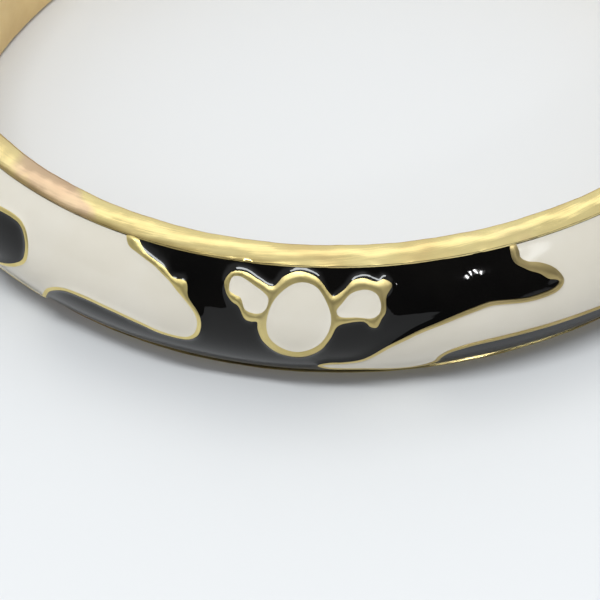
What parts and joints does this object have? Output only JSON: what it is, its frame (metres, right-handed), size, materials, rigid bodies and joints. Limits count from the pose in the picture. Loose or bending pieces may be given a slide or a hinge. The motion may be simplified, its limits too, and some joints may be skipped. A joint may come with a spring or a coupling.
{
  "type": "hinged bangle",
  "caption": "Oval hinged bangle: two cast gold-toned half bands with a domed black and cream enamel face in a hide pattern, joined by a knuckle hinge and shut by a tongue clasp.",
  "frame": {"origin": "middle of the bangle's footprint, on the face it rests on when it lies on its side", "axes": "+Z along the wrist, across the band's height; +X towards the hinge; -Y towards the decorated front"},
  "size_m": [0.0662, 0.0584, 0.0105],
  "materials": {
    "gold_front": "polished, softly worn",
    "gold_back": "polished, softly worn",
    "black_front": "high gloss",
    "cream_front": "high gloss",
    "cream_spot": "high gloss",
    "black_back": "high gloss",
    "cream_back": "high gloss",
    "pin_metal": "polished",
    "tongue_metal": "polished"
  },
  "bodies": {
    "front_half": {"front_shell": "gold_front", "front_black_enamel": "black_front", "front_cream_enamel": "cream_front", "spot_enamel": "cream_spot", "hinge_pin": "pin_metal", "clasp_tongue": "tongue_metal"},
    "back_half": {"back_shell": "gold_back", "back_black_enamel": "black_back", "back_cream_enamel": "cream_back"}
  },
  "joints": [
    {"name": "half_hinge", "type": "hinge", "parent": "front_half", "child": "back_half", "pos_m": [0.03195, 0, 0.00525], "axis": [0, 0, -1], "range_deg": [0, 60]}
  ]
}
